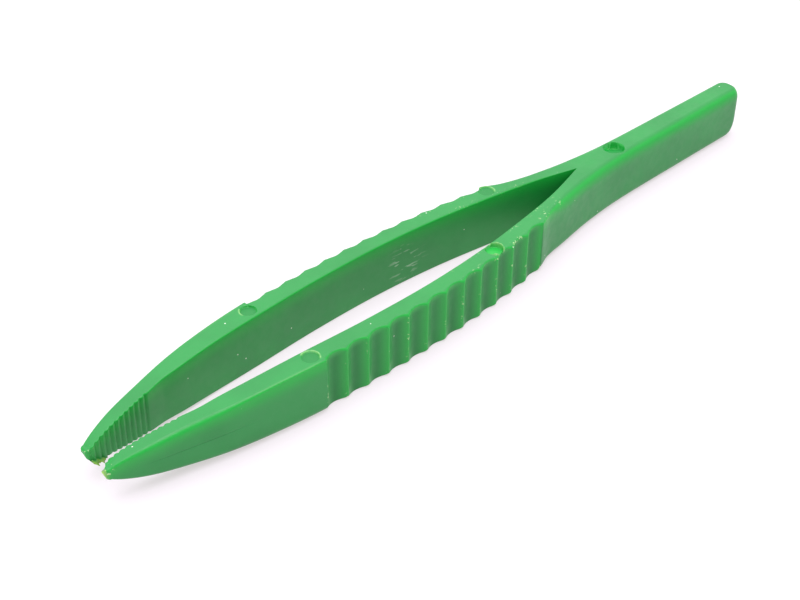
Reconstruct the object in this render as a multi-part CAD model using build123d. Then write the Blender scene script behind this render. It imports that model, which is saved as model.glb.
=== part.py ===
from build123d import *

import math
import os

# Plastic tweezers, moulded in one piece and cut here into the zones that stay stiff and those that bend.
# Sizes are in millimetres. +X runs to the tips, +Y is the left arm's side, +Z is up. The shape functions
# take x from the apex of the V between the arms; the nodes are moved so that the origin is under the middle.
LENGTH = 125.0
HEIGHT = 8.5
HANDLE_LENGTH = 38.0
TIP = LENGTH - HANDLE_LENGTH
APEX_TO_MIDDLE = LENGTH / 2 - HANDLE_LENGTH

# Cuts between the zones, from the handle to the jaw.
ROOT_START = 2.0
ARM_START = 11.0
NOSE_START = 68.5
JAW_START = 76.0

# Plan view of the left half, as (x, distance from the middle plane).
OUTER_LINE = [
    (-38, 2.2),
    (-23, 2.35),
    (-8, 2.6),
    (0, 3.3),
    (7, 4.45),
    (11.5, 5.2),
    (14.45, 6.3),
    (25, 7.8),
    (36, 8.5),
    (47, 8.55),
    (57, 8.15),
    (64, 7.5),
    (71, 6.6),
    (77, 5.4),
    (82, 4.3),
    (87, 2.75),
]
INNER_LINE = [
    (0, 0),
    (7, 1.9),
    (14, 3.2),
    (25, 4.7),
    (36, 5.4),
    (47, 5.35),
    (57, 4.85),
    (66, 4.3),
    (73.5, 3.55),
    (76, 3.13),
    (80, 2.46),
    (84, 1.8),
    (87, 1.3),
]
APEX_RADIUS = 0.25

# Side view of the nose: half an ellipse about the parting plane, cut off blunt just before its end.
TAPER_START = 56.93
TAPER_LENGTH = 30.25

# Corner radii of the arm's cross-section, limited to a share of its height where the nose gets thin. The
# upper outer corner changes along x: as soft as the handle's at the root, then crisp, then softer again.
OUTER_CORNER = 1.3
OUTER_CORNER_SHARE = 0.3
UPPER_CORNERS = [(ROOT_START, OUTER_CORNER), (ARM_START, 0.4), (62.0, 0.4), (80.0, 0.8)]
INNER_CORNER = 0.5
INNER_CORNER_SHARE = 0.22
SECTION_SPACING = 3.0

# Finger grip: hollows between rounded crests on the outer side of the arm.
FIRST_CREST = TAPER_START
CREST_PITCH = 3.54
HOLLOWS = 12
HOLLOW_DEPTH = 0.75
CREST_RADIUS = 0.4
GRIP_CORNER = 0.3
GRIP_START = FIRST_CREST - HOLLOWS * CREST_PITCH

# Gripping teeth on the inner side of the jaw, from its root to the tip.
FIRST_TOOTH = 76.5
TOOTH_PITCH = 0.86
TEETH = 12
TOOTH_DEPTH = 0.2
TIP_CORNER = 0.15

# Free end of the handle, rounded in plan, over its edges, and with a larger radius up from the underside.
HANDLE_CORNER = 1.3
HANDLE_END_CORNER = 1.9
HANDLE_SOLE_CORNER = 3.0

# Sunken marks of the ejector pins in the upper side, as (x, y, radius).
MARK_DEPTH = 0.12
LEFT_MARKS = [(58.1, 6.4, 1.25), (24.1, 6.0, 1.25)]
RIGHT_MARKS = [(57.7, -6.4, 1.25), (14.4, -4.9, 1.25)]

# The handle's mark leans: its floor rises in one direction, given in degrees from +X, and is deepest
# opposite to it.
HANDLE_MARK = (-8.4, 0.0, 1.65)
HANDLE_MARK_SHALLOW = 0.1
HANDLE_MARK_DEEP = 1.1
HANDLE_MARK_RISES_TO = 53.0


def smooth(knots, x):
    """The value at x of a smooth curve through the knots, a cubic between each two of them."""
    last = len(knots) - 1
    slopes = []
    for i in range(len(knots)):
        before, after = knots[max(i - 1, 0)], knots[min(i + 1, last)]
        slopes.append((after[1] - before[1]) / (after[0] - before[0]))
    i = min(last - 1, sum(1 for knot in knots[1:] if knot[0] <= x))
    (x0, y0), (x1, y1) = knots[i], knots[i + 1]
    span = x1 - x0
    t = (x - x0) / span
    return (
        y0 * (1 + 2 * t) * (1 - t) ** 2
        + slopes[i] * span * t * (1 - t) ** 2
        + y1 * t * t * (3 - 2 * t)
        + slopes[i + 1] * span * t * t * (t - 1)
    )


def outer(x):
    return smooth(OUTER_LINE, x)


def inner(x):
    return smooth(INNER_LINE, x)


def half_height(x):
    along = max(0.0, x - TAPER_START) / TAPER_LENGTH
    return HEIGHT / 2 * math.sqrt(1 - along * along)


def stations(start, end, spacing):
    count = max(2, round((end - start) / spacing))
    return [start + (end - start) * i / count for i in range(count + 1)]


def outline(line, start, end):
    """A plan-view curve along one of the lines, from start to end."""
    return Spline([(x, line(x)) for x in stations(start, end, SECTION_SPACING)])


def upper_corner(x):
    """Radius of the upper outer corner, straight from each of its known values to the next."""
    for (x0, before), (x1, after) in zip(UPPER_CORNERS, UPPER_CORNERS[1:]):
        if x <= x1:
            return before + (after - before) * (x - x0) / (x1 - x0)
    return UPPER_CORNERS[-1][1]


def arm_section(x, excess=0.0):
    """Cross-section of the left arm: a flat inner side, and an outer side with a large soft lower corner.
    With excess, the outer side is left square and stands out further by that much."""
    near, far, height = inner(x), outer(x) + excess, 2 * half_height(x)
    profile = Rectangle(far - near, height)
    inside = profile.vertices().group_by(Axis.X)[0]
    profile = fillet(inside, min(INNER_CORNER, INNER_CORNER_SHARE * height))
    if not excess:
        lower = profile.vertices().group_by(Axis.X)[-1].sort_by(Axis.Y)[0]
        profile = fillet(lower, min(OUTER_CORNER, OUTER_CORNER_SHARE * height))
        upper = profile.vertices().group_by(Axis.X)[-1].sort_by(Axis.Y)[-1]
        profile = fillet(upper, min(upper_corner(x), OUTER_CORNER_SHARE * height))
    return Plane(origin=(x, (near + far) / 2, HEIGHT / 2), x_dir=(0, 1, 0), z_dir=(1, 0, 0)) * profile


def stretch(start, end, excess=0.0):
    """The arm between two cuts, through its cross-sections."""
    return loft([arm_section(x, excess) for x in stations(start, end, SECTION_SPACING)])


def hollow(i):
    """Plan-view arc of one hollow of the finger grip, from crest i back to crest i + 1."""
    ends = [FIRST_CREST - k * CREST_PITCH for k in (i, i + 1)]
    front, back = [Vector(x, outer(x)) for x in ends]
    along = (back - front).normalized()
    middle = (front + back) / 2 + Vector(-along.Y, along.X) * HOLLOW_DEPTH
    return ThreePointArc(front, middle, back)


def grip_stretch():
    """The arm where its outer side has the finger grip, with soft edges above and below the crests."""
    hollows = [hollow(i) for i in range(HOLLOWS)]
    front, back = hollows[0] @ 0, hollows[-1] @ 1
    plan = make_face(Curve() + hollows + [Polyline(back, (back.X, 0), (front.X, 0), front)])
    crests = plan.vertices().filter_by(lambda v: back.X + 1 < v.X < front.X - 1)
    block = extrude(fillet(crests, CREST_RADIUS), HEIGHT)
    rims = block.edges().group_by(Axis.Z)[0] + block.edges().group_by(Axis.Z)[-1]
    block = fillet(rims.filter_by(GeomType.CIRCLE), GRIP_CORNER)
    return block & stretch(GRIP_START, FIRST_CREST, excess=2 * OUTER_CORNER)


def tooth_comb():
    """Cutter that leaves sharp upright teeth along the inner side of the jaw."""
    flanks = []
    for i in range(TEETH):
        crest = FIRST_TOOTH + i * TOOTH_PITCH
        root = crest + TOOTH_PITCH / 2
        flanks += [(crest, inner(crest)), (root, inner(root) + TOOTH_DEPTH)]
    profile = Polyline(*flanks, (TIP, inner(TIP)), (TIP + 1, -1), (FIRST_TOOTH, -1), close=True)
    return extrude(make_face(profile), HEIGHT)


def marks(places):
    """Cutters for the ejector marks of an arm."""
    return [Pos(x, y, HEIGHT) * Cylinder(radius, 2 * MARK_DEPTH) for x, y, radius in places]


def leaning_mark():
    """Cutter for the ejector mark of the handle, with a sloping floor."""
    x, y, radius = HANDLE_MARK
    slope = math.degrees(math.atan((HANDLE_MARK_DEEP - HANDLE_MARK_SHALLOW) / (2 * radius)))
    middle = (HANDLE_MARK_DEEP + HANDLE_MARK_SHALLOW) / 2
    above_floor = Rot(Z=HANDLE_MARK_RISES_TO) * Rot(Y=-slope) * Pos(Z=2 * radius) * Box(*3 * [4 * radius])
    pin = Cylinder(radius, 2 * HANDLE_MARK_DEEP)
    return Pos(x, y, HEIGHT) * (pin & Pos(Z=-middle) * above_floor)


def handle():
    """The bar the two arms grow from, up to just past the apex of the V between them."""
    left = outline(outer, -HANDLE_LENGTH, ROOT_START)
    right = left.mirror(Plane.XZ)
    plan = make_face(Curve() + [left, right, Line(left @ 0, right @ 0), Line(left @ 1, right @ 1)])
    plan = fillet(plan.vertices().group_by(Axis.X)[0], HANDLE_END_CORNER)
    bar = extrude(plan, HEIGHT)
    rims = bar.edges().group_by(Axis.Z)[0] + bar.edges().group_by(Axis.Z)[-1]
    bar = fillet([e for e in rims if e.center().X < ROOT_START - 0.01], HANDLE_CORNER)
    middle = (ROOT_START - HANDLE_LENGTH) / 2
    side = Plane.XZ * Pos(middle, HEIGHT / 2) * Rectangle(HANDLE_LENGTH + ROOT_START, HEIGHT)
    side = fillet(side.vertices().group_by(Axis.X)[0].sort_by(Axis.Z)[0], HANDLE_SOLE_CORNER)
    bar = bar & extrude(side, HEIGHT, both=True)
    reach = 1.5 * ROOT_START
    opening = 1.5 * inner(ROOT_START)
    notch = make_face(Polyline((0, 0), (reach, opening), (reach, -opening), close=True))
    notch = fillet(notch.vertices().group_by(Axis.X)[0], APEX_RADIUS)
    return bar - extrude(notch, HEIGHT) - leaning_mark()


def left_arm():
    rear = stretch(ARM_START, GRIP_START)
    front = stretch(FIRST_CREST, NOSE_START)
    return rear + grip_stretch() + front


def jaw():
    """The toothed end of the arm."""
    nose = stretch(JAW_START, TIP)
    nose = fillet(nose.edges().group_by(Axis.X)[-1], TIP_CORNER)
    return nose - tooth_comb()


def export(node, solid):
    solid = Pos(-APEX_TO_MIDDLE, 0, 0) * solid
    solid.label = node
    export_step(solid, f"parts/{node}.step")


os.makedirs("parts", exist_ok=True)
arm = left_arm()
zones = {
    "root_flexure": stretch(ROOT_START, ARM_START),
    "arm": arm,
    "nose_flexure": stretch(NOSE_START, JAW_START),
    "jaw": jaw(),
}
export("handle", handle())
for name, zone in zones.items():
    left, right = zone, zone.mirror(Plane.XZ)
    if name == "arm":
        left, right = left - marks(LEFT_MARKS), right - marks(RIGHT_MARKS)
    export(f"left_{name}", left)
    export(f"right_{name}", right)
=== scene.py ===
import math

import bmesh
import bpy
import numpy as np
from mathutils import Matrix, Vector


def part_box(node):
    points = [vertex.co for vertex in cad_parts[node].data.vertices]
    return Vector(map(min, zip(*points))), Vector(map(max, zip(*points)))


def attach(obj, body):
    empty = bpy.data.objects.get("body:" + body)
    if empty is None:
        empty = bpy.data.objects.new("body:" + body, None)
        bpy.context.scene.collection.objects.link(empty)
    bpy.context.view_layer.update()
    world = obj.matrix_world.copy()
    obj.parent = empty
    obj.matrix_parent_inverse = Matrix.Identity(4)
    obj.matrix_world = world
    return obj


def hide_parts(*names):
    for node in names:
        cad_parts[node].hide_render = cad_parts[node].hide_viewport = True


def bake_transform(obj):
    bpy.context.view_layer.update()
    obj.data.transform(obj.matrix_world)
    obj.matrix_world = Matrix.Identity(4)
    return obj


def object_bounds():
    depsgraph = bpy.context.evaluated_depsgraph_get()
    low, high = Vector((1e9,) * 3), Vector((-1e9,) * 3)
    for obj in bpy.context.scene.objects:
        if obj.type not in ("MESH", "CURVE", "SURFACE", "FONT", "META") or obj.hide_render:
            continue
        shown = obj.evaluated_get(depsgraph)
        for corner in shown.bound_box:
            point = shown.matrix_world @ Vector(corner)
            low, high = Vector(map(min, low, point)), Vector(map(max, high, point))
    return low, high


# The looks of the moulded tweezers. Shapes are worked out in millimetres, with x measured from the apex of
# the V between the arms, as in the CAD source, and turned into metres of the shared frame in the end.
MM = 0.001

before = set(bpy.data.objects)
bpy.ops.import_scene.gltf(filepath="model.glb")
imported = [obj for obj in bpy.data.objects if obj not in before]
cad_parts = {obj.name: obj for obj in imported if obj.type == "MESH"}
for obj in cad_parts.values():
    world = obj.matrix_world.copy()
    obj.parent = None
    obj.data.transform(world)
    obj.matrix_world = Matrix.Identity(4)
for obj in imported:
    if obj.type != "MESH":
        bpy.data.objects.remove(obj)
cad_low, cad_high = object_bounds()
HEIGHT = (cad_high.z - cad_low.z) / MM
HANDLE_LENGTH = 38.0
APEX = cad_low.x / MM + HANDLE_LENGTH


def cut(node, end):
    """Where a CAD node starts (end 0) or stops (end 1) along the tool, from the apex."""
    return round(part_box(node)[end].x / MM - APEX, 3)


ROOT_START = cut("left_root_flexure", 0)
ARM_START = cut("left_arm", 0)
NOSE_START = cut("left_nose_flexure", 0)
JAW_START = cut("left_jaw", 0)
TIP = cut("left_jaw", 1)

# Plan view of the left half, as (x, distance from the middle plane).
OUTER_LINE = [
    (-38, 2.2),
    (-23, 2.35),
    (-8, 2.6),
    (0, 3.3),
    (7, 4.45),
    (11.5, 5.2),
    (14.45, 6.3),
    (25, 7.8),
    (36, 8.5),
    (47, 8.55),
    (57, 8.15),
    (64, 7.5),
    (71, 6.6),
    (77, 5.4),
    (82, 4.3),
    (87, 2.75),
]
INNER_LINE = [
    (0, 0),
    (7, 1.9),
    (14, 3.2),
    (25, 4.7),
    (36, 5.4),
    (47, 5.35),
    (57, 4.85),
    (66, 4.3),
    (73.5, 3.55),
    (76, 3.13),
    (80, 2.46),
    (84, 1.8),
    (87, 1.3),
]
TAPER_START = 56.93
TAPER_LENGTH = 30.25

# Corners of the cross-section, as (width across the top or underside, drop down the side). The upper outer
# corner is soft along the handle and crisp along the arm, where the side swells out below it. It gets
# blunter again towards the tip.
CRISP_CORNER = (0.22, 0.3)
SOFT_CORNER = (1.25, 1.9)
SOFT_UNTIL = 6.0
CRISP_FROM = 14.4
NOSE_CORNER = (1.0, 1.3)
NOSE_CORNER_FROM = (62.0, 80.0)
LOWER_CORNER = 1.3
LOWER_CORNER_SHARE = 0.6
SWELL = 0.3
REAR_SWELL = 0.08
SWELL_DROP = 1.8
INNER_CORNER = 0.28
INNER_CORNER_GROWTH = 10.0

# Free end of the handle: its corners in plan, and a large one up from the underside that draws in the end of
# the bar over the given length.
END_CORNER = 1.9
SOLE_CORNER = 3.0
SOLE_LENGTH = 6.5

# Finger grip: hollows scooped out of the outer side, shallower where they run out into the two rims.
FIRST_CREST = TAPER_START
CREST_PITCH = 3.54
HOLLOWS = 12
HOLLOW_DEPTH = 0.76
UPPER_RIM_SHARE = 0.9
LOWER_RIM_SHARE = 0.95
RIM_REACH = 1.1
CREST_RADIUS = 0.3
CREST_CORNER = 0.75
CREST_LOWER_CORNER = 0.95
HOLLOW_CORNER = 0.2
HOLLOW_LOWER_CORNER = 0.25
CORNER_EXTRA_DROP = 0.05
LOWER_CORNER_EXTRA_DROP = 0.1
LEAST_LOWER_DROP_SHARE = 0.3
LAST_CREST = FIRST_CREST - HOLLOWS * CREST_PITCH

# The inner side of the nose is set back a little, and more where it bends, so that it stays clear of the
# other one when the tool is squeezed shut.
NOSE_CLEARANCE = 0.04
NOSE_CLEAR_FROM = (70.0, 73.0)
BEND_CLEARANCE = 0.08
BEND_MIDDLE = 74.0
BEND_REACH = 1.8

# Gripping teeth of the jaw.
FIRST_TOOTH = 76.5
TOOTH_PITCH = 0.86
TOOTH_DEPTH = 0.2

# Parting line round the outer side of the nose. The rows of points above and below it stop short of it by a
# share of the side's height.
SEAM_DEPTH = 0.03
SEAM_HALF_WIDTH = 0.09
SEAM_FROM = (65.0, 73.0)
SEAM_UNTIL = (79.0, 83.0)
NEAR_SEAM = 0.08


def smooth(knots, x):
    """Values at x of a smooth curve through the knots, a cubic between each two of them."""
    along, across = np.array(knots, float).T
    slopes = np.empty(len(knots))
    slopes[1:-1] = (across[2:] - across[:-2]) / (along[2:] - along[:-2])
    slopes[0] = (across[1] - across[0]) / (along[1] - along[0])
    slopes[-1] = (across[-1] - across[-2]) / (along[-1] - along[-2])
    i = np.clip(np.searchsorted(along, x, side="right") - 1, 0, len(knots) - 2)
    span = along[i + 1] - along[i]
    t = (x - along[i]) / span
    return (
        across[i] * (1 + 2 * t) * (1 - t) ** 2
        + slopes[i] * span * t * (1 - t) ** 2
        + across[i + 1] * t * t * (3 - 2 * t)
        + slopes[i + 1] * span * t * t * (t - 1)
    )


def ease(x, start, end):
    """0 before start, 1 after end, smooth in between."""
    t = np.clip((x - start) / (end - start), 0, 1)
    return t * t * (3 - 2 * t)


def spot(distance, width):
    """1 where the distance is 0, fading out smoothly with the width."""
    return np.exp(-((distance / width) ** 2))


def ragged(quick, slow):
    """An uneven line between 0.4 and 1, from the phases of two waves."""
    return 0.7 + 0.3 * np.sin(quick) * np.sin(slow + 1)


def hollow_depth(x):
    """How far the finger grip lies below the line along its crests."""
    if x > FIRST_CREST or x < LAST_CREST:
        return 0.0
    half = CREST_PITCH / 2
    radius = (half**2 + HOLLOW_DEPTH**2) / (2 * HOLLOW_DEPTH)
    sunk = radius - HOLLOW_DEPTH
    touch = half * CREST_RADIUS / (radius + CREST_RADIUS)
    place = (FIRST_CREST - x) % CREST_PITCH
    place = min(place, CREST_PITCH - place)
    if place > touch:
        return math.sqrt(radius**2 - (half - place) ** 2) - sunk
    centre = math.sqrt((radius + CREST_RADIUS) ** 2 - half**2) - sunk
    return centre - math.sqrt(CREST_RADIUS**2 - place**2)


def tooth_depth(x):
    """How far the surface of the teeth lies below the line along their crests."""
    if x < FIRST_TOOTH:
        return 0.0
    place = (x - FIRST_TOOTH) / TOOTH_PITCH % 1.0
    return TOOTH_DEPTH * (1 - abs(math.cos(math.pi * place)))


def outer(x):
    """Distance of the outer side from the middle plane, along the crests of the grip."""
    return float(smooth(OUTER_LINE, x))


def inner(x):
    """Distance of the inner side from the middle plane, with the teeth."""
    if x <= 0:
        return 0.0
    clearance = NOSE_CLEARANCE * ease(x, *NOSE_CLEAR_FROM)
    clearance += BEND_CLEARANCE * spot(x - BEND_MIDDLE, BEND_REACH)
    return float(smooth(INNER_LINE, x) + clearance) + tooth_depth(x)


def half_height(x):
    along = np.clip((x - TAPER_START) / TAPER_LENGTH, 0, 1)
    return HEIGHT / 2 * np.sqrt(1 - along**2)


def slimness(x):
    """Height of the nose as a share of the arm's."""
    return half_height(x) / (HEIGHT / 2)


# Distances between cross-sections: along plain stretches, over an ejector mark and its rim, from a crest
# into the hollow beside it, next to the ends of the grip and to the crests of the teeth, and the smallest one
# that is worth a cross-section of its own.
SPACING = 0.25
MARK_SPACING = 0.09
MARK_MARGIN = 0.3
CREST_STEPS = [0.0, 0.04, 0.1, 0.17, 0.25, 0.36]
HOLLOW_MARGIN = 0.5
HOLLOW_STEPS = 17
GRIP_END_STEP = 0.1
TOOTH_STEP = 0.05
CLOSEST = 0.035


def stations(start, end, marks):
    """Places of the cross-sections: closer together over crests, teeth and ejector marks."""
    places = list(np.arange(start, end, SPACING)) + [end]
    places += [FIRST_CREST + GRIP_END_STEP, LAST_CREST - GRIP_END_STEP]
    hollow = list(np.linspace(HOLLOW_MARGIN, CREST_PITCH - HOLLOW_MARGIN, HOLLOW_STEPS))
    hollow += CREST_STEPS + [CREST_PITCH - step for step in CREST_STEPS]
    for i in range(HOLLOWS):
        places += [FIRST_CREST - i * CREST_PITCH - step for step in hollow]
    for mark_x, _, radius, *_ in marks:
        reach = radius + MARK_MARGIN
        places += list(np.arange(mark_x - reach, mark_x + reach, MARK_SPACING))
    tooth_steps = [-TOOTH_PITCH / 6, -TOOTH_STEP, 0, TOOTH_STEP, TOOTH_PITCH / 6]
    for middle in np.arange(FIRST_TOOTH, TIP, TOOTH_PITCH / 2):
        places += [middle + step for step in tooth_steps]
    kept = [start]
    for place in sorted(p for p in places if start <= p <= end):
        if place - kept[-1] > CLOSEST:
            kept.append(place)
    kept[-1] = end
    return kept


# Ejector marks: x, distance from the middle plane, radius, depth, height of the curled rim, and the part of
# the circle the rim follows, as its middle direction and half its spread in degrees. A mark with a spread
# of zero has no rim, but a sloping floor that comes out level in that direction.
HANDLE_MARKS = [(-8.4, 0.0, 1.65, 1.3, 0.0, 53, 0)]
LEFT_MARKS = [(58.1, 6.4, 1.2, 0.16, 0.12, 215, 95), (24.1, 6.0, 1.3, 0.5, 0.4, 170, 150)]
RIGHT_MARKS = [(57.7, 6.4, 1.15, 0.3, 0.02, 20, 40), (14.4, 4.9, 1.2, 0.15, 0.1, 150, 90)]
MARK_WALL = 0.1
CURL_WIDTH = 0.1
CURL_OFFSET = 0.06
CURL_FULL_SHARE = 0.8
CURL_END = 1.0
CURL_WAVES = (9.0, 23.0)


def along_slope(x, y, mark):
    """Place across a sloping mark, from -1 at its deep side to 1 where its floor comes out level."""
    mark_x, mark_y, radius, *_, facing, _ = mark
    turn = math.radians(facing)
    return ((x - mark_x) * math.cos(turn) + (y - mark_y) * math.sin(turn)) / radius


def mark_relief(marks, x, y):
    """Height of the upper face around its ejector marks, and how much of it is the thin curled rim."""
    relief = np.zeros_like(x)
    curl = np.zeros_like(x)
    for mark in marks:
        mark_x, mark_y, radius, depth, rim, facing, spread = mark
        away = np.hypot(x - mark_x, y - mark_y)
        lean = 1.0 if spread else np.clip(0.5 - 0.5 * along_slope(x, y, mark), 0, 1)
        relief -= depth * lean * (1 - ease(away, radius - MARK_WALL, radius))
        angle = np.degrees(np.arctan2(y - mark_y, x - mark_x))
        turn = np.abs((angle - facing + 180) % 360 - 180)
        uneven = ragged(*[angle / wave for wave in CURL_WAVES])
        ring = spot(away - radius - CURL_OFFSET, CURL_WIDTH)
        edge = uneven * ring * (1 - ease(turn, spread * CURL_FULL_SHARE, spread + CURL_END))
        relief += rim * edge
        curl = np.maximum(curl, edge * (rim > 0))
    return relief, curl


# Numbers of points round a cross-section, which runs over the top, round the outer side, back underneath
# and up the inner side.
TOP_POINTS = 34
CORNER_POINTS = 10
SIDE_POINTS = 9
SEAM_POINTS = 3
BOTTOM_POINTS = 9
INNER_CORNER_POINTS = 5
INNER_POINTS = 9
BOTTOM_START = TOP_POINTS + 2 * CORNER_POINTS + 2 * SIDE_POINTS + SEAM_POINTS
INNER_START = BOTTOM_START + BOTTOM_POINTS
RING = INNER_START + 2 * INNER_CORNER_POINTS + INNER_POINTS

# Rounded edge of the tip, and the directions in degrees of the rings that close it and the handle's end.
TIP_ROUNDING = 0.5
TIP_RING_ANGLES = [25, 45, 65, 85]
END_RING_ANGLES = np.linspace(90, 6, 15)

# Flash and damage at the tips. The bites in an end face are (distance from the middle plane, width, share of
# the full depth), and one with a share below zero stands out instead.
FLASH_LENGTH = 1.2
FLASH_DROP = 0.1
FLASH_FROM = 83.2
FLASH_RISE = 2.4
FLASH_UNTIL = (TIP - 0.7, TIP - 0.2)
FLASH_WAVES = (9.0, 4.1)
FLASH_UNDERSIDE_SHARE = 0.8
FLASH_UPPER_SHARE = 0.4
BITE_DEPTH = 0.5
BITE_FROM = 84.0
LEFT_BITES = [(1.75, 0.3, 0.8), (2.5, 0.25, -0.3)]
RIGHT_BITES = [(1.3, 0.3, 0.2)]
WHISKER_LENGTH = 0.6
WHISKER_RINGS = 3
WORN_AWAY = 1.2
WORN_ACROSS = (1.3, 2.6)


def flash_reach(x):
    """How far the ragged flash at the lower inner edge of the right jaw stands out."""
    rise = ease(x, FLASH_FROM, FLASH_FROM + FLASH_RISE) * (1 - ease(x, *FLASH_UNTIL))
    return FLASH_LENGTH * rise * ragged(*[x * wave for wave in FLASH_WAVES])


def damage(rings, side):
    """The chewed tips: the end of each jaw is worn back unevenly. The left one ends in a whisker of flash,
    and the right one is worn away underneath, at its outer side."""
    x, y, z = rings[..., 0], rings[..., 1], rings[..., 2]
    reach = ease(x, BITE_FROM, TIP)
    bites = LEFT_BITES if side > 0 else RIGHT_BITES
    dent = sum(share * spot(y - across, width) for across, width, share in bites)
    if side > 0:
        whisker = INNER_START + INNER_CORNER_POINTS + INNER_POINTS // 2
        rings[-WHISKER_RINGS:, whisker, 0] += WHISKER_LENGTH
    else:
        low = np.clip((HEIGHT / 2 - z) / half_height(TIP - TIP_ROUNDING), 0, 1)
        rings[..., 2] = z + WORN_AWAY * low * reach * ease(y, *WORN_ACROSS)
    rings[..., 0] = x - BITE_DEPTH * reach * dent
    return rings


def quarter(count):
    return np.linspace(0, math.pi / 2, count + 2)[1:-1]


def corner_sizes(x, depth):
    """Width and drop of the upper outer corner, and the same of the lower one."""
    if LAST_CREST <= x <= FIRST_CREST:
        upper = max(HOLLOW_CORNER, CREST_CORNER - depth * UPPER_RIM_SHARE)
        lower = max(HOLLOW_LOWER_CORNER, CREST_LOWER_CORNER - depth * LOWER_RIM_SHARE)
        arc = CREST_LOWER_CORNER - math.sqrt(CREST_LOWER_CORNER**2 - lower**2)
        low_drop = max(arc, LEAST_LOWER_DROP_SHARE * lower) + LOWER_CORNER_EXTRA_DROP
        return upper, upper + CORNER_EXTRA_DROP, lower, low_drop
    crisp = float(ease(x, SOFT_UNTIL, CRISP_FROM))
    blunt = float(ease(x, *NOSE_CORNER_FROM))
    wide, drop = (
        soft + (sharp - soft) * crisp + (nose - sharp) * blunt
        for soft, sharp, nose in zip(SOFT_CORNER, CRISP_CORNER, NOSE_CORNER)
    )
    slim = slimness(x)
    return wide * slim, drop * slim, LOWER_CORNER * slim, LOWER_CORNER * slim


def side_line(x, z, depth):
    """Distance of the outer side from the middle plane at the heights z above the parting plane."""
    h = half_height(x)
    upper, lower = h - z, z + h
    if depth > 0:
        share = 1 - (1 - UPPER_RIM_SHARE) * (1 - ease(upper, 0, RIM_REACH))
        share = share * (1 - (1 - LOWER_RIM_SHARE) * (1 - ease(lower, 0, RIM_REACH)))
        return outer(x) - depth * share
    swell = SWELL if x > FIRST_CREST else REAR_SWELL * float(ease(x, ROOT_START, CRISP_FROM))
    down = np.clip(upper / (SWELL_DROP * slimness(x)), 0, 1)
    return outer(x) + swell * slimness(x) * (1 - (1 - down) ** 2)


def cross_section(x):
    """One cross-section of the left half: distances from the middle plane, and heights."""
    near, h = inner(x), half_height(x)
    depth = max(0.0, hollow_depth(x))
    wide, drop, low_wide, low_drop = corner_sizes(x, depth)
    r = INNER_CORNER * slimness(x) * min(1.0, max(0.0, x) / INNER_CORNER_GROWTH)
    low_wide = min(low_wide, LOWER_CORNER_SHARE * (outer(x) - near))
    down, up = quarter(CORNER_POINTS), quarter(CORNER_POINTS)[::-1]
    small, small_up = quarter(INNER_CORNER_POINTS), quarter(INNER_CORNER_POINTS)[::-1]
    seam = np.linspace(1, -1, SEAM_POINTS) * SEAM_HALF_WIDTH * slimness(x)
    shares = np.linspace(1, NEAR_SEAM, SIDE_POINTS)
    heights = np.concatenate([shares * (h - drop), seam, -shares[::-1] * (h - low_drop)])
    side = side_line(x, heights, depth)
    side[SIDE_POINTS + 1] -= SEAM_DEPTH * float(ease(x, *SEAM_FROM) * (1 - ease(x, *SEAM_UNTIL)))
    far, low_far = side[0], side[-1]
    top = np.linspace(near + r, far - wide, TOP_POINTS)
    bottom = np.linspace(low_far - low_wide, near + r, BOTTOM_POINTS)
    y = np.concatenate(
        [
            top,
            far - wide + wide * np.sin(down),
            side,
            low_far - low_wide + low_wide * np.sin(up),
            bottom,
            near + r - r * np.sin(small),
            np.full(INNER_POINTS, near),
            near + r - r * np.sin(small_up),
        ]
    )
    z = np.concatenate(
        [
            np.full(TOP_POINTS, h),
            h - drop + drop * np.cos(down),
            heights,
            low_drop - h - low_drop * np.cos(up),
            np.full(BOTTOM_POINTS, -h),
            -h + r - r * np.cos(small),
            np.linspace(-(h - r), h - r, INNER_POINTS),
            h - r + r * np.cos(small_up),
        ]
    )
    return y, z + HEIGHT / 2


def skin(start, end, marks, side=1):
    """Points of the left half's surface from start to end, as rings of (x, y, z). The right half is mirrored
    afterwards, so with side -1 a mark on the middle plane is met from the other side."""
    places = stations(start, end, marks)
    rings = np.empty((len(places), RING, 3))
    for ring, x in zip(rings, places):
        y, z = cross_section(x)
        ring[:, 0], ring[:, 1], ring[:, 2] = x, y, z
    top = rings[:, : TOP_POINTS + CORNER_POINTS]
    relief = mark_relief(marks, top[..., 0], side * top[..., 1])[0]
    flat = top[:, :1, 2]
    top[..., 2] = np.where(relief < 0, np.minimum(top[..., 2], flat + relief), top[..., 2] + relief)
    return rings


# Where the surface looks different. Lengths are in millimetres, the rest are shares from 0 to 1.
UPPER_LAYER = 0.5

# Scuffs on the crests, at the tips and along the two rims of the upper face, the last as (distance in from
# the rim, width, strength).
CREST_WEAR = 0.8
CREST_WEAR_WIDTH = 0.22
CREST_WEAR_DEPTH = 0.4
TIP_WEAR = 0.8
TIP_WEAR_FROM = (TIP - 2.5, TIP - 0.3)
OUTER_RIM_WEAR = (0.6, 0.45, 1.0)
INNER_RIM_WEAR = (0.4, 0.3, 0.5)
ROOT_WEAR_FROM = (6.0, 11.0)
ROOT_WEAR_UNTIL = (16.0, 38.0)

# Light that comes out below the upper face, on the crests, and in the deep ejector marks except at their lip
# and at the level side of a sloping one.
EDGE_LIGHT_REACH = 1.5
GRIP_LIGHT_REACH = 0.75
GRIP_MARGIN = 0.05
DEEP_MARK = 0.4
MARK_SLACK = 0.02
FLOOR_SLACK = 0.05
UNLIT_LIP = 0.08
LIP_FADE = 0.2
SLOPE_LIT_UNTIL = (-0.9, -0.2)

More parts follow.
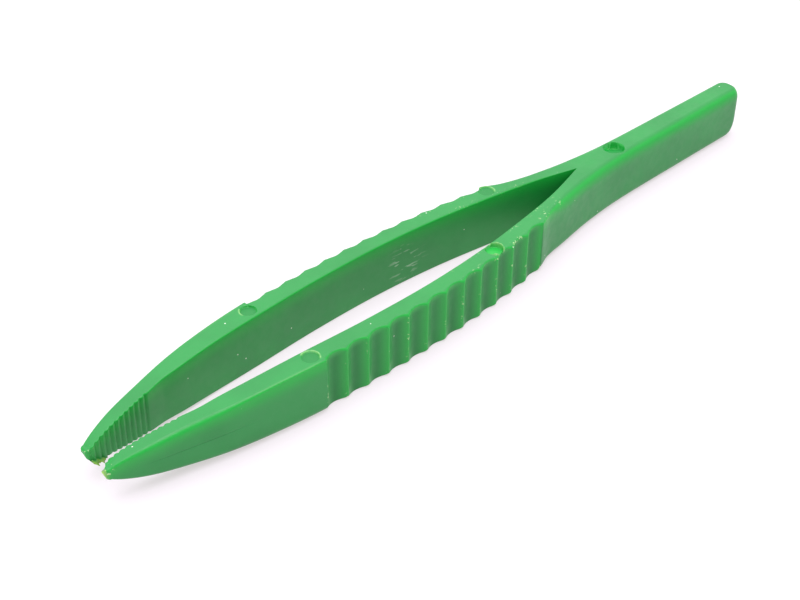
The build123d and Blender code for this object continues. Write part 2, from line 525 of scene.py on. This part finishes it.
# Painted highlight along the crisp edge of the arm's front, as (distance in, width, height), and where along
# the arm it is.
EDGE_HIGHLIGHT = 0.13
EDGE_HIGHLIGHT_SHAPE = (0.1, 0.14, 0.15)
EDGE_HIGHLIGHT_FROM = (FIRST_CREST, FIRST_CREST + 2)
EDGE_HIGHLIGHT_UNTIL = (62.0, 74.0)
CURL_LAYER = 0.3

# Painted shade: in the parting line of the nose, in the hollows of the grip, in the corner behind each crest,
# and in the shallow ejector marks.
MARK_SHADE = 0.22
SEAM_SHADE = 0.45
ON_SEAM = 0.01
SEAM_SHADE_FROM = (68.0, 73.0)
SEAM_SHADE_UNTIL = (80.0, 84.0)
HOLLOW_SHADE = 0.3
CORNER_SHADE = 0.35
CORNER_SHIFT = 0.25
CORNER_WIDTH = 0.12
SHADE_BELOW = (0.3, 1.2)

# Scratches, as (along, up) from the apex and the underside.
SCRATCH_CENTRE = (30.5, 3.4)
SCRATCH_SIZE = (2.6, 2.2)

# Thin bright flash: the blunt end of the left jaw, its whisker, and the fin of the right jaw.
END_FLASH = 0.15
END_FLASH_FROM = (TIP - 0.35, TIP + 0.1)
END_FLASH_TOP = HEIGHT / 2 + 0.2
FIN_FROM = (FLASH_FROM, FLASH_FROM + 1.5)
FIN_STANDS_OUT = (0.03, 0.25)


def on_outer_side(points):
    x, y, _ = points.T
    return np.abs(y) > (smooth(OUTER_LINE, x) + np.where(x > 0, smooth(INNER_LINE, x), 0)) / 2


def near_crest(x, shift, width):
    """How close x is to one of the crests, or to places shifted from them towards the handle."""
    crests = FIRST_CREST - shift - CREST_PITCH * np.arange(HOLLOWS + 1)
    return spot(x[:, None] - crests, width).max(axis=1)


def share_of_hollow(x):
    return np.array([hollow_depth(place) / HOLLOW_DEPTH for place in x])


def rim_wear(distance, middle, width, strength):
    return strength * spot(distance - middle, width)


def wear_at(points):
    """Pale scuffs: on the crests, at the tips, and on the rims of the upper face towards the root."""
    x, y, z = points.T
    from_outside = smooth(OUTER_LINE, x) - np.abs(y)
    from_inside = np.abs(y) - smooth(INNER_LINE, x)
    crests = CREST_WEAR * near_crest(x, 0, CREST_WEAR_WIDTH) * (from_outside < CREST_WEAR_DEPTH)
    tips = TIP_WEAR * ease(x, *TIP_WEAR_FROM)
    rims = np.maximum(rim_wear(from_outside, *OUTER_RIM_WEAR), rim_wear(from_inside, *INNER_RIM_WEAR))
    rims = rims * (z > HEIGHT - UPPER_LAYER)
    root = ease(x, *ROOT_WEAR_FROM) * (1 - ease(x, *ROOT_WEAR_UNTIL))
    return np.maximum.reduce([crests, tips, root * rims])


def edge_light_at(points):
    """Light that has soaked in through the upper face or a crest and comes out of the sides close to it."""
    x, _, z = points.T
    below = np.clip(HEIGHT / 2 + half_height(x) - z, 0, None)
    grip = on_outer_side(points) & (x > LAST_CREST - GRIP_MARGIN) & (x < FIRST_CREST + GRIP_MARGIN)
    light = spot(below, np.where(grip, GRIP_LIGHT_REACH, EDGE_LIGHT_REACH))
    return np.maximum(light, grip * (1 - share_of_hollow(x)) ** 0.9)


def pocket_at(points, marks):
    """The deep ejector marks, whose thin walls let light through."""
    x, y, z = points.T
    pocket = np.zeros(len(points))
    for mark in marks:
        mark_x, mark_y, radius, depth, *_, spread = mark
        if depth < DEEP_MARK:
            continue
        across = y if mark_y == 0 else np.abs(y)
        inside = np.hypot(x - mark_x, across - mark_y) < radius + MARK_SLACK
        lit = inside * (z > HEIGHT - depth - FLOOR_SLACK)
        lit = lit * np.clip((HEIGHT - UNLIT_LIP - z) / LIP_FADE, 0, 1)
        if spread == 0:
            lit = lit * (1 - ease(along_slope(x, across, mark), *SLOPE_LIT_UNTIL))
        pocket = np.maximum(pocket, lit)
    return pocket


def pale_at(points, marks):
    """Pale colour: the thin plastic of the curled rims of the ejector marks, and a painted highlight along
    the crisp edge of the front.
    """
    x, y, z = points.T
    curl = mark_relief(marks, x, np.abs(y))[1] * (z > HEIGHT - CURL_LAYER)
    top = HEIGHT / 2 + half_height(x)
    inset, width, height = EDGE_HIGHLIGHT_SHAPE
    # painted highlight along the crisp upper edge of the arm's front
    edge = spot(np.abs(y) - smooth(OUTER_LINE, x) + inset, width) * spot(z - top, height)
    front = ease(x, *EDGE_HIGHLIGHT_FROM) * (1 - ease(x, *EDGE_HIGHLIGHT_UNTIL))
    return np.maximum(curl, EDGE_HIGHLIGHT * edge * front)


def dark_at(points, marks):
    """Painted shade in the parting line of the nose, in the hollows of the grip, in the corner behind each
    crest and in the shallow ejector marks."""
    x, y, z = points.T
    # painted shade along the parting line of the nose
    seam = (np.abs(z - HEIGHT / 2) < ON_SEAM) * ease(x, *SEAM_SHADE_FROM) * (1 - ease(x, *SEAM_SHADE_UNTIL))
    corners = CORNER_SHADE * near_crest(x, CORNER_SHIFT, CORNER_WIDTH)
    # painted shade in the hollows of the grip and in the corner behind each crest, fading out towards the
    # upper face
    grip_shade = np.maximum(HOLLOW_SHADE * share_of_hollow(x) ** 3, corners) * ease(HEIGHT - z, *SHADE_BELOW)
    painted_shade = np.maximum(SEAM_SHADE * seam, grip_shade) * on_outer_side(points)
    for mark_x, mark_y, radius, depth, *_ in marks:
        if depth < DEEP_MARK:
            inside = np.hypot(x - mark_x, np.abs(y) - mark_y) < radius - MARK_WALL / 2
            painted_shade = np.maximum(painted_shade, MARK_SHADE * inside * (z > HEIGHT - UPPER_LAYER))
    return painted_shade


def scratched_at(points, side):
    """Where the inner side of the right arm has been scratched."""
    x, _, z = points.T
    patch = spot(x - SCRATCH_CENTRE[0], SCRATCH_SIZE[0]) * spot(z - SCRATCH_CENTRE[1], SCRATCH_SIZE[1])
    return (side < 0) * patch * ~on_outer_side(points)


def flash_at(points, side):
    """The thin flash at the tips."""
    x, y, z = points.T
    if side > 0:
        blunt_end = END_FLASH * ease(x, *END_FLASH_FROM) * (z < END_FLASH_TOP)
        return np.maximum(blunt_end, ease(x, TIP, TIP + WHISKER_LENGTH / 2))
    low = (z < HEIGHT / 2) * ease(x, *FIN_FROM)
    return low * ease(smooth(INNER_LINE, x) - np.abs(y), *FIN_STANDS_OUT)


# Points closer together than this are welded.
WELD = 1e-5


class Patchwork:
    """A mesh put together from grids of points that are welded where they meet."""

    def __init__(self):
        self.mesh = bmesh.new()

    def grid(self, points, closed=False):
        rows = [[self.mesh.verts.new(p) for p in row] for row in points]
        for a, b in zip(rows, rows[1:]):
            for i in range(len(a) if closed else len(a) - 1):
                j = (i + 1) % len(a)
                self.mesh.faces.new((a[i], a[j], b[j], b[i]))
        return rows

    def cap(self, row):
        """A flat end face, with a sharp edge so that the sides keep their shading up to it."""
        face = self.mesh.faces.new(row)
        face.smooth = False
        for edge in face.edges:
            edge.smooth = False

    def finish(self, name, side, marks, material):
        """The piece, with what its material needs to know about the surface. The handle's side is 0."""
        for face in self.mesh.faces:
            if len(face.verts) == 4:
                face.smooth = True
        bmesh.ops.remove_doubles(self.mesh, verts=self.mesh.verts, dist=WELD)
        bmesh.ops.recalc_face_normals(self.mesh, faces=self.mesh.faces)
        data = bpy.data.meshes.new(name)
        self.mesh.to_mesh(data)
        self.mesh.free()
        count = len(data.vertices)
        points = np.empty(count * 3)
        data.vertices.foreach_get("co", points)
        points = points.reshape(-1, 3)
        layers = {
            "wear": wear_at(points),
            "edge_light": edge_light_at(points),
            "pale": pale_at(points, marks),
            "dark": dark_at(points, marks),
            "pocket": pocket_at(points, marks),
            "scratched": scratched_at(points, side),
            "flash": flash_at(points, side) if side else np.zeros(count),
        }
        for layer, values in layers.items():
            attribute = data.attributes.new(layer, "FLOAT", "POINT")
            attribute.data.foreach_set("value", values.astype(np.float32))
        points = (points + [APEX, 0, 0]) * MM
        data.vertices.foreach_set("co", points.ravel())
        attribute = data.attributes.new("rest", "FLOAT_VECTOR", "POINT")
        attribute.data.foreach_set("vector", points.astype(np.float32).ravel())
        data.materials.append(material)
        piece = bpy.data.objects.new(name, data)
        bpy.context.scene.collection.objects.link(piece)
        return piece


def on_side(points, side):
    """Points of the left half, mirrored if the side is -1."""
    return points * [1, side, 1]


def rounded_end(ring):
    """Rings that close the tip with a rounded edge: each is drawn in towards the middle of the last one."""
    middle = ring.mean(axis=0)
    reach = np.abs(ring - middle)[:, 1:].max()
    rings = []
    for angle in np.radians(TIP_RING_ANGLES):
        moved = middle + (ring - middle) * (1 - TIP_ROUNDING * (1 - math.cos(angle)) / reach)
        moved[:, 0] = ring[:, 0] + TIP_ROUNDING * math.sin(angle)
        rings.append(moved)
    return np.array(rings)


def jaw_rings(side, start):
    """The jaw with the damage at its tip, and with flash on the right one."""
    rings = skin(start, TIP - TIP_ROUNDING, [])
    rings = np.concatenate([rings, rounded_end(rings[-1])])
    if side < 0:
        below, edge, above = (rings[:, INNER_START + i] for i in (-1, 0, 1))
        reach = flash_reach(edge[:, 0])
        grown = ease(reach, 0, 3 * FLASH_DROP)
        drop = FLASH_DROP * grown
        under = below[:, 2].copy()
        edge[:, 1] -= reach
        edge[:, 2] = under - drop
        below[:, 2] = under - FLASH_UNDERSIDE_SHARE * drop
        above[:, 2] += (under - FLASH_UPPER_SHARE * drop - above[:, 2]) * grown
    return damage(rings, side)


def zone(name, side, start, end, marks, material):
    """One zone of an arm as a closed skin between two cuts."""
    rings = jaw_rings(side, start) if end == TIP else skin(start, end, marks)
    work = Patchwork()
    rows = work.grid(on_side(rings, side), closed=True)
    work.cap(rows[0])
    work.cap(rows[-1])
    return work.finish(name, side, marks, material)


def handle_end_rings():
    """Rings round the free end of the handle, where the side turns through a quarter circle in plan."""
    start = END_CORNER - HANDLE_LENGTH
    y0, z0 = cross_section(start)
    width = y0.max()
    centre = np.array([start, width - END_CORNER])
    wall = slice(TOP_POINTS, BOTTOM_START)
    reach = END_CORNER - (width - y0)
    rings = []
    for angle in np.radians(END_RING_ANGLES):
        normal = np.array([-math.sin(angle), math.cos(angle)])
        rim_x, rim_y = centre + normal * reach[TOP_POINTS - 1]
        ring = np.empty((RING, 3))
        ring[:, 0] = rim_x
        ring[:, 2] = z0
        ring[:TOP_POINTS, 1] = np.linspace(0, rim_y, TOP_POINTS)
        ring[wall, :2] = centre + normal * reach[wall, None]
        ring[BOTTOM_START:INNER_START, 1] = np.linspace(rim_y, 0, BOTTOM_POINTS)
        ring[INNER_START:, 1] = 0
        rings.append(ring)
    return np.array(rings)


def round_sole(rings):
    """Draws the free end of the handle in towards the underside, through a large quarter circle."""
    x, z = rings[..., 0], rings[..., 2]
    low = np.clip(SOLE_CORNER - z, 0, SOLE_CORNER)
    inset = SOLE_CORNER - np.sqrt(SOLE_CORNER**2 - low**2)
    rings[..., 0] = x + inset * (1 - ease(x, -HANDLE_LENGTH, SOLE_LENGTH - HANDLE_LENGTH))
    return rings


def handle(material):
    """The bar the arms grow from: both halves meet in the middle plane, and part at the apex of the V."""
    work = Patchwork()
    fork = skin(0.0, ROOT_START, [])
    fork[0, INNER_START:, 1] = 0
    for side in (1, -1):
        bar = skin(END_CORNER - HANDLE_LENGTH, 0.0, HANDLE_MARKS, side)
        bar = round_sole(np.concatenate([handle_end_rings(), bar]))
        work.grid(on_side(bar[:, :INNER_START], side))
        rows = work.grid(on_side(fork, side), closed=True)
        work.cap(rows[-1])
        edge = bar[0, TOP_POINTS - 1 : BOTTOM_START + 1]
        across = np.linspace(0, 1, TOP_POINTS)
        wall = np.array([[(p[0], p[1] * a, p[2]) for a in across] for p in edge])
        work.grid(on_side(wall, side))
    return work.finish("handle_skin", 0, HANDLE_MARKS, material)


# ----------------------------------------------------------------------------------------------------------
# Material.


class Nodes:
    """Short ways to add and join shader nodes."""

    def __init__(self, name):
        self.material = bpy.data.materials.new(name)
        self.material.use_nodes = True
        self.tree = self.material.node_tree
        self.shader = self.tree.nodes["Principled BSDF"]
        self.place = self.add("ShaderNodeAttribute", attribute_name="rest").outputs["Vector"]

    def add(self, kind, **values):
        node = self.tree.nodes.new(kind)
        for key, value in values.items():
            setattr(node, key, value)
        return node

    def link(self, source, socket):
        if hasattr(source, "links"):
            self.tree.links.new(source, socket)
        else:
            socket.default_value = source

    def attribute(self, name):
        return self.add("ShaderNodeAttribute", attribute_name=name).outputs["Fac"]

    def math(self, operation, a, b=0.0, clamp=False):
        node = self.add("ShaderNodeMath", operation=operation, use_clamp=clamp)
        self.link(a, node.inputs[0])
        self.link(b, node.inputs[1])
        return node.outputs[0]

    def stretched(self, scale):
        node = self.add("ShaderNodeMapping")
        self.link(self.place, node.inputs["Vector"])
        node.inputs["Scale"].default_value = scale
        return node.outputs["Vector"]

    def specks(self, scale, size, share):
        """Small round spots, in a share of the cells of an irregular pattern."""
        cells = self.add("ShaderNodeTexVoronoi")
        self.link(self.place, cells.inputs["Vector"])
        cells.inputs["Scale"].default_value = scale
        parts = self.add("ShaderNodeSeparateColor")
        self.link(cells.outputs["Color"], parts.inputs[0])
        dot = self.between(cells.outputs["Distance"], 0.6 * size, size, 1.0, 0.0)
        return self.math("MULTIPLY", dot, self.math("LESS_THAN", parts.outputs[0], share))

    def noise(self, scale, detail=2.0, vector=None):
        node = self.add("ShaderNodeTexNoise")
        self.link(self.place if vector is None else vector, node.inputs["Vector"])
        node.inputs["Scale"].default_value = scale
        node.inputs["Detail"].default_value = detail
        return node.outputs["Fac"]

    def between(self, value, low, high, out_low=0.0, out_high=1.0):
        """From out_low at low to out_high at high, smooth in between."""
        node = self.add("ShaderNodeMapRange", interpolation_type="SMOOTHSTEP")
        self.link(value, node.inputs["Value"])
        limits = {"From Min": low, "From Max": high, "To Min": out_low, "To Max": out_high}
        for name, number in limits.items():
            node.inputs[name].default_value = number
        return node.outputs["Result"]

    def mix(self, factor, a, b):
        node = self.add("ShaderNodeMix", data_type="RGBA")
        self.link(factor, node.inputs["Factor"])
        self.link(a, node.inputs[6])
        self.link(b, node.inputs[7])
        return node.outputs[2]


# Colours of the plastic, and the patterns in it: a scale is in waves per metre, and a pair of levels is where
# in the noise a pattern starts to show and where it shows fully.
GREEN = (0.013, 0.265, 0.05, 1)
DEEP_GREEN = (0.011, 0.235, 0.045, 1)
LIT_GREEN = (0.008, 0.39, 0.045, 1)
SHADE_GREEN = (0.006, 0.07, 0.02, 1)
DUST = (0.75, 0.82, 0.72, 1)
SCUFF = (0.5, 0.68, 0.36, 1)
PALE_GREEN = (0.3, 0.6, 0.22, 1)
FLASH_GREEN = (0.55, 0.85, 0.14, 1)
CLOUD_SCALE = 120
CLOUD_LEVELS = (0.35, 0.65)
CRUMB_SCALE = 2600
CRUMB_LEVELS = (0.6, 0.67)
PATCH_SCALE = 420
PATCH_LEVELS = (0.48, 0.62)
STREAK_SCALE = 500
STREAK_STRETCH = (1, 1, 6)
STREAK_LEVELS = (0.6, 0.66)
STREAK_STRENGTH = 0.45
SPECK_SCALE = 600
SPECK_SIZE = 0.07
SPECK_SHARE = 0.3
GLOW_SLOPES = (0.6, 0.98)
GLOSS_SCALE = 900
GLOSS_LEVELS = (0.3, 0.7)
ROUGHNESS = (0.36, 0.46)
GRAIN_SCALE = 2200
GRAIN_HEIGHT = 0.00002
GRAIN_STRENGTH = 0.5
IOR = 1.49
SPECULAR = 0.5
SHADED_SPECULAR = 0.25


def green_plastic():
    """Semi-matte moulded polypropylene: light glows through it below its upper edges, less where it faces up,
    and scuffs and flash are pale."""
    n = Nodes("green_plastic")
    colour = n.mix(n.between(n.noise(CLOUD_SCALE, 3), *CLOUD_LEVELS), GREEN, DEEP_GREEN)
    up = n.add("ShaderNodeSeparateXYZ")
    n.link(n.add("ShaderNodeNewGeometry").outputs["Normal"], up.inputs[0])
    upright = n.between(up.outputs["Z"], *GLOW_SLOPES, 1.0, 0.0)
    glow = n.math("MAXIMUM", n.math("MULTIPLY", n.attribute("edge_light"), upright), n.attribute("pocket"))
    colour = n.mix(glow, colour, LIT_GREEN)
    crumbs = n.between(n.noise(CRUMB_SCALE, 1), *CRUMB_LEVELS)
    patches = n.between(n.noise(PATCH_SCALE, 2), *PATCH_LEVELS)
    scuffs = n.math("MULTIPLY", n.math("MULTIPLY", crumbs, patches), n.attribute("wear"), clamp=True)
    colour = n.mix(scuffs, colour, SCUFF)
    # painted shade: darker green in the hollows, behind the crests, in the parting line and in the shallow
    # ejector marks
    colour = n.mix(n.attribute("dark"), colour, SHADE_GREEN)
    streaks = n.between(n.noise(STREAK_SCALE, 2, n.stretched(STREAK_STRETCH)), *STREAK_LEVELS)
    scratches = n.math("MULTIPLY", n.math("MULTIPLY", streaks, n.attribute("scratched")), STREAK_STRENGTH)
    colour = n.mix(scratches, colour, DUST)
    colour = n.mix(n.specks(SPECK_SCALE, SPECK_SIZE, SPECK_SHARE), colour, DUST)
    # pale thin plastic of the curled rims, and the painted highlight along the front's crisp edge
    colour = n.mix(n.attribute("pale"), colour, PALE_GREEN)
    colour = n.mix(n.attribute("flash"), colour, FLASH_GREEN)
    n.link(colour, n.shader.inputs["Base Color"])
    n.link(n.between(n.noise(GLOSS_SCALE, 2), *GLOSS_LEVELS, *ROUGHNESS), n.shader.inputs["Roughness"])
    bump = n.add("ShaderNodeBump")
    bump.inputs["Distance"].default_value = GRAIN_HEIGHT
    bump.inputs["Strength"].default_value = GRAIN_STRENGTH
    n.link(n.noise(GRAIN_SCALE, 3), bump.inputs["Height"])
    n.link(bump.outputs["Normal"], n.shader.inputs["Normal"])
    n.shader.inputs["IOR"].default_value = IOR
    # weaker reflection where the shade is painted
    specular = n.between(n.attribute("dark"), 0.0, 0.5, SPECULAR, SHADED_SPECULAR)
    n.link(specular, n.shader.inputs["Specular IOR Level"])
    return n.material


# ----------------------------------------------------------------------------------------------------------
# The pieces.

plastic = green_plastic()


def place(piece, node, bodies, start, end):
    """Hides the CAD node that the piece stands for, and attaches the piece to the body it moves with when
    there is only one. A piece between two bodies is only baked in place and does not bend; start and end are
    not used."""
    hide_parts(node)
    if len(bodies) == 1:
        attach(piece, bodies[0])
    else:
        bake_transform(piece)


place(handle(plastic), "handle", ["handle"], -HANDLE_LENGTH, ROOT_START)
for side_name, side, side_marks in (("left", 1, LEFT_MARKS), ("right", -1, RIGHT_MARKS)):
    arm_body, jaw_body = f"{side_name}_arm", f"{side_name}_jaw"
    zones = [
        ("root_flexure", ROOT_START, ARM_START, ["handle", arm_body]),
        ("arm", ARM_START, NOSE_START, [arm_body]),
        ("nose_flexure", NOSE_START, JAW_START, [arm_body, jaw_body]),
        ("jaw", JAW_START, TIP, [jaw_body]),
    ]
    for zone_name, start, end, bodies in zones:
        node = f"{side_name}_{zone_name}"
        piece = zone(f"{node}_skin", side, start, end, side_marks, plastic)
        place(piece, node, bodies, start, end)

# ----------------------------------------------------------------------------------------------------------
# Floor, light and camera. Lengths are in metres.

FLOOR_REACH = 3.0
FLOOR_GAP = 0.00002
PAPER = (0.36, 0.34, 0.38, 1)
PAPER_GLOW = (0.53, 0.48, 0.5, 1)


def floor():
    """White paper that glows a little, so that shadows on it stay pale."""
    data = bpy.data.meshes.new("floor")
    corners = [(-1, -1), (1, -1), (1, 1), (-1, 1)]
    corners = [(x * FLOOR_REACH, y * FLOOR_REACH, -FLOOR_GAP) for x, y in corners]
    data.from_pydata(corners, [], [(0, 1, 2, 3)])
    sheet = bpy.data.objects.new("floor", data)
    bpy.context.scene.collection.objects.link(sheet)
    paper = bpy.data.materials.new("white_paper")
    paper.use_nodes = True
    shader = paper.node_tree.nodes["Principled BSDF"]
    shader.inputs["Base Color"].default_value = PAPER
    shader.inputs["Emission Color"].default_value = PAPER_GLOW
    shader.inputs["Emission Strength"].default_value = 1.0
    shader.inputs["Roughness"].default_value = 0.9
    shader.inputs["Specular IOR Level"].default_value = 0.0
    data.materials.append(paper)


KEY_PLACE = (0.06, 0.06, 0.7)
KEY_SIZE = 0.9
KEY_POWER = 4.4


def key_light():
    """A large round softbox overhead, aimed at the origin under the middle of the tool."""
    data = bpy.data.lights.new("key", "AREA")
    data.shape = "DISK"
    data.size = KEY_SIZE
    data.energy = KEY_POWER
    lamp = bpy.data.objects.new("key", data)
    lamp.location = KEY_PLACE
    lamp.rotation_euler = (-Vector(KEY_PLACE)).to_track_quat("-Z", "Y").to_euler()
    bpy.context.scene.collection.objects.link(lamp)


# Strength of the surroundings at the horizon and overhead, and how much more of it comes from the bright side
# and less from opposite to it.
HORIZON = 0.4
ZENITH = 1.35
SIDE_LIGHT = 0.62
BRIGHT_SIDE = (-0.65, -0.75, 0.0)


def surroundings():
    """A white studio, brightest overhead, and brighter behind the tool than on the camera's side."""
    world = bpy.data.worlds.new("studio")
    bpy.context.scene.world = world
    world.use_nodes = True
    tree = world.node_tree
    place = tree.nodes.new("ShaderNodeTexCoord").outputs["Generated"]
    split = tree.nodes.new("ShaderNodeSeparateXYZ")
    rise = tree.nodes.new("ShaderNodeMapRange")
    across = tree.nodes.new("ShaderNodeVectorMath")
    side = tree.nodes.new("ShaderNodeMapRange")
    total = tree.nodes.new("ShaderNodeMath")
    total.operation = "MULTIPLY"
    across.operation = "DOT_PRODUCT"
    across.inputs[1].default_value = BRIGHT_SIDE
    tree.links.new(place, split.inputs[0])
    tree.links.new(place, across.inputs[0])
    tree.links.new(split.outputs["Z"], rise.inputs["Value"])
    tree.links.new(across.outputs["Value"], side.inputs["Value"])
    rise.inputs["To Min"].default_value = HORIZON
    rise.inputs["To Max"].default_value = ZENITH
    side.inputs["From Min"].default_value = -1.0
    side.inputs["To Min"].default_value = 1 - SIDE_LIGHT
    side.inputs["To Max"].default_value = 1 + SIDE_LIGHT
    tree.links.new(rise.outputs["Result"], total.inputs[0])
    tree.links.new(side.outputs["Result"], total.inputs[1])
    background = tree.nodes["Background"]
    background.inputs["Color"].default_value = (1, 1, 1, 1)
    tree.links.new(total.outputs["Value"], background.inputs["Strength"])


# The camera as found from the photo. Its directions are in degrees, the azimuth is measured from -Y towards
# +X, and it aims at a point next to the middle of the tool.
LENS = 71.77
AZIMUTH = 135.926
ELEVATION = 37.197
ROLL = 0.658
DISTANCE = 0.22584
AIM = Vector((0.00869, -0.0032, -0.00495))
EXPOSURE = 0.12


def camera():
    """Seen from above, from the tips' end and the left arm's side."""
    data = bpy.data.cameras.new("camera")
    data.lens = LENS
    data.sensor_width = 36.0
    data.clip_start = 0.01
    eye = bpy.data.objects.new("camera", data)
    azimuth, elevation, roll = (math.radians(angle) for angle in (AZIMUTH, ELEVATION, ROLL))
    level = math.cos(elevation)
    back = Vector((math.sin(azimuth) * level, -math.cos(azimuth) * level, math.sin(elevation)))
    target = (cad_low + cad_high) / 2 + AIM
    turn = (-back).to_track_quat("-Z", "Y").to_matrix().to_4x4() @ Matrix.Rotation(roll, 4, "Z")
    eye.matrix_world = Matrix.Translation(target + back * DISTANCE) @ turn
    bpy.context.scene.collection.objects.link(eye)
    bpy.context.scene.camera = eye


floor()
surroundings()
key_light()
camera()
bpy.context.scene.view_settings.view_transform = "Standard"
bpy.context.scene.view_settings.exposure = EXPOSURE
